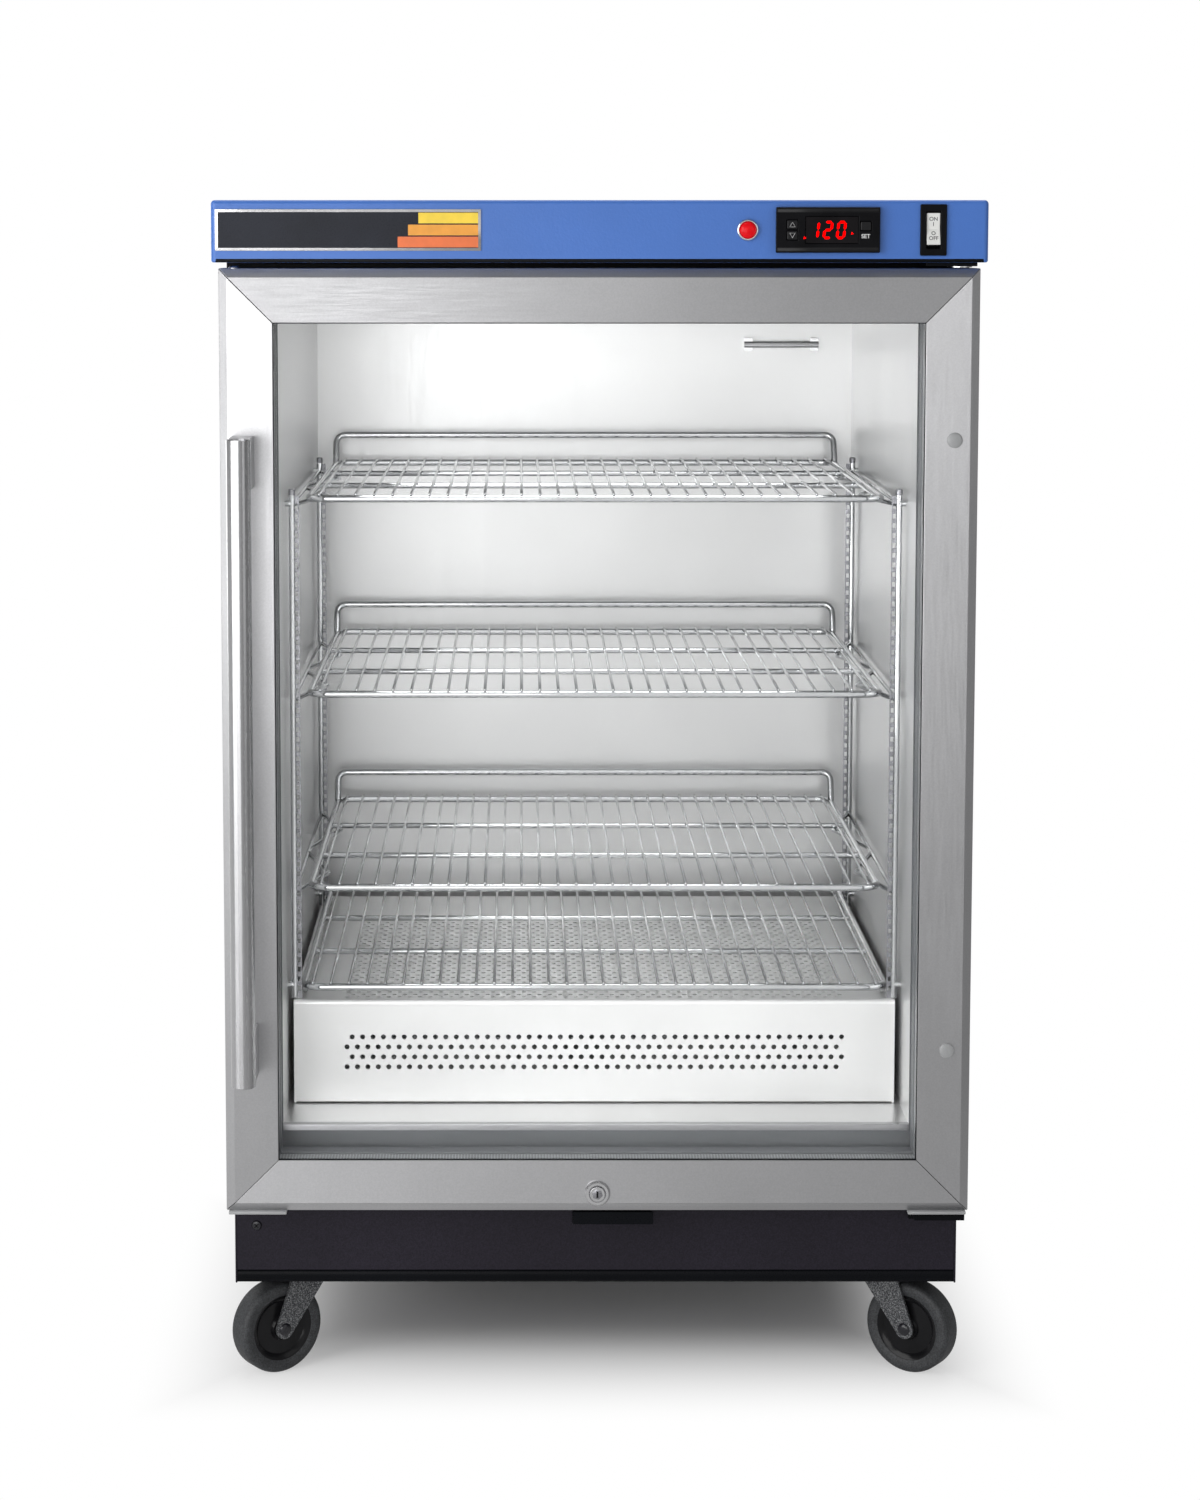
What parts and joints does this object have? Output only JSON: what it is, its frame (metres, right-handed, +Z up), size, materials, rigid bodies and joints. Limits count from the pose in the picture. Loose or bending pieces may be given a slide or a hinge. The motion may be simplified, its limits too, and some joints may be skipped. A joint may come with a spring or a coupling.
{
  "type": "blanket warming cabinet",
  "caption": "Insulated warming cabinet on swivel casters with a hinged glass door, wire shelves over a floor heater with a fan, and temperature controls in a painted lid.",
  "frame": {"origin": "on the floor, under the middle of the cabinet's outline", "axes": "+Z up, the door faces -Y, the door's hinge is on the +X side"},
  "size_m": [0.6, 0.624, 0.96],
  "materials": {
    "blue_paint": "satin",
    "black_paint": "satin",
    "stainless": "satin",
    "satin_frame": "satin",
    "bright_wire": "polished",
    "fibre_insulation": "matte",
    "clear_glass": "gloss",
    "grey_plastic": "matte",
    "grey_rubber": "matte",
    "black_plastic": "satin",
    "white_plastic": "gloss",
    "red_lens": "gloss",
    "smoked_window": "gloss",
    "plated_steel": "satin",
    "wheel_rubber": "matte",
    "motor_steel": "satin"
  },
  "bodies": {
    "cabinet": {"outer_shell": "black_paint", "inner_liner": "stainless", "insulation": "fibre_insulation", "plinth_panel": "black_paint", "base_pan": "black_paint", "rear_cover": "black_paint", "power_inlet": "black_plastic", "lid": "blue_paint", "nameplate": "satin_frame", "lamp_bezel": "plated_steel", "lamp_lens": "red_lens", "controller_case": "black_plastic", "display_window": "smoked_window", "switch_bezel": "black_plastic", "top_hinge": "black_paint", "bottom_hinge": "black_paint", "lock_strike": "black_paint", "heater_cover": "stainless", "heating_element": "motor_steel", "fan_motor": "motor_steel", "temperature_probe": "plated_steel", "ladder_left": "bright_wire", "ladder_right": "bright_wire", "caster_plate_front_left": "black_paint", "caster_plate_front_right": "black_paint", "caster_plate_rear_left": "black_paint", "caster_plate_rear_right": "black_paint"},
    "door": {"door_rail_top": "satin_frame", "door_rail_bottom": "satin_frame", "door_stile_left": "satin_frame", "door_stile_right": "satin_frame", "outer_glass": "clear_glass", "inner_glass": "clear_glass", "glass_spacer": "satin_frame", "glazing_frame": "grey_plastic", "door_gasket": "grey_rubber", "handle_bar": "plated_steel", "handle_bracket_top": "satin_frame", "handle_bracket_bottom": "satin_frame", "cover_plug_top": "grey_plastic", "cover_plug_bottom": "grey_plastic", "lock_body": "plated_steel"},
    "lock_plug": {"lock_plug": "plated_steel"},
    "fan_impeller": {"fan_impeller": "black_plastic"},
    "shelf_1": {"shelf_1": "bright_wire"},
    "shelf_2": {"shelf_2": "bright_wire"},
    "shelf_3": {"shelf_3": "bright_wire"},
    "bottom_rack": {"bottom_rack": "bright_wire"},
    "button_up": {"button_up": "black_plastic"},
    "button_down": {"button_down": "black_plastic"},
    "button_set": {"button_set": "black_plastic"},
    "switch_rocker": {"switch_rocker": "white_plastic"},
    "caster_fork_front_left": {"caster_fork_front_left": "black_paint"},
    "caster_wheel_front_left": {"caster_wheel_front_left": "wheel_rubber"},
    "caster_fork_front_right": {"caster_fork_front_right": "black_paint"},
    "caster_wheel_front_right": {"caster_wheel_front_right": "wheel_rubber"},
    "caster_fork_rear_left": {"caster_fork_rear_left": "black_paint"},
    "caster_wheel_rear_left": {"caster_wheel_rear_left": "wheel_rubber"},
    "caster_fork_rear_right": {"caster_fork_rear_right": "black_paint"},
    "caster_wheel_rear_right": {"caster_wheel_rear_right": "wheel_rubber"}
  },
  "joints": [
    {"name": "door_open", "type": "hinge", "parent": "cabinet", "child": "door", "pos_m": [0.281, -0.242, 0.5], "axis": [0, 0, 1], "range_deg": [0, 110]},
    {"name": "lock_turn", "type": "hinge", "parent": "door", "child": "lock_plug", "pos_m": [0, -0.262, 0.1755], "axis": [0, 1, 0], "range_deg": [0, 90]},
    {"name": "fan_spin", "type": "hinge", "parent": "cabinet", "child": "fan_impeller", "pos_m": [0, 0.17, 0.261], "axis": [0, 1, 0], "continuous": true},
    {"name": "switch_tilt", "type": "hinge", "parent": "cabinet", "child": "switch_rocker", "pos_m": [0.257, -0.26, 0.937], "axis": [1, 0, 0], "range_deg": [0, 16]},
    {"name": "key_up_press", "type": "slide", "parent": "cabinet", "child": "button_up", "axis": [0, 1, 0], "range_m": [0, 0.0007], "stiffness_N_per_m": 400},
    {"name": "key_down_press", "type": "slide", "parent": "cabinet", "child": "button_down", "axis": [0, 1, 0], "range_m": [0, 0.0007], "stiffness_N_per_m": 400},
    {"name": "key_set_press", "type": "slide", "parent": "cabinet", "child": "button_set", "axis": [0, 1, 0], "range_m": [0, 0.0007], "stiffness_N_per_m": 400},
    {"name": "shelf_1_lift", "type": "slide", "parent": "cabinet", "child": "shelf_1", "axis": [0, 0, 1], "range_m": [0, 0.03]},
    {"name": "shelf_2_lift", "type": "slide", "parent": "cabinet", "child": "shelf_2", "axis": [0, 0, 1], "range_m": [0, 0.03]},
    {"name": "shelf_3_lift", "type": "slide", "parent": "cabinet", "child": "shelf_3", "axis": [0, 0, 1], "range_m": [0, 0.03]},
    {"name": "rack_lift", "type": "slide", "parent": "cabinet", "child": "bottom_rack", "axis": [0, 0, 1], "range_m": [0, 0.03]},
    {"name": "swivel_front_left", "type": "hinge", "parent": "cabinet", "child": "caster_fork_front_left", "pos_m": [-0.2425, -0.164, 0.09], "axis": [0, 0, 1], "continuous": true},
    {"name": "roll_front_left", "type": "hinge", "parent": "caster_fork_front_left", "child": "caster_wheel_front_left", "pos_m": [-0.26216, -0.17777, 0.0375], "axis": [0.5736, -0.8192, 0], "continuous": true},
    {"name": "swivel_front_right", "type": "hinge", "parent": "cabinet", "child": "caster_fork_front_right", "pos_m": [0.2425, -0.164, 0.09], "axis": [0, 0, 1], "continuous": true},
    {"name": "roll_front_right", "type": "hinge", "parent": "caster_fork_front_right", "child": "caster_wheel_front_right", "pos_m": [0.26216, -0.17777, 0.0375], "axis": [0.5736, 0.8192, 0], "continuous": true},
    {"name": "swivel_rear_left", "type": "hinge", "parent": "cabinet", "child": "caster_fork_rear_left", "pos_m": [-0.2425, 0.256, 0.09], "axis": [0, 0, 1], "continuous": true},
    {"name": "roll_rear_left", "type": "hinge", "parent": "caster_fork_rear_left", "child": "caster_wheel_rear_left", "pos_m": [-0.26216, 0.24223, 0.0375], "axis": [0.5736, -0.8192, 0], "continuous": true},
    {"name": "swivel_rear_right", "type": "hinge", "parent": "cabinet", "child": "caster_fork_rear_right", "pos_m": [0.2425, 0.256, 0.09], "axis": [0, 0, 1], "continuous": true},
    {"name": "roll_rear_right", "type": "hinge", "parent": "caster_fork_rear_right", "child": "caster_wheel_rear_right", "pos_m": [0.26216, 0.24223, 0.0375], "axis": [0.5736, 0.8192, 0], "continuous": true}
  ]
}
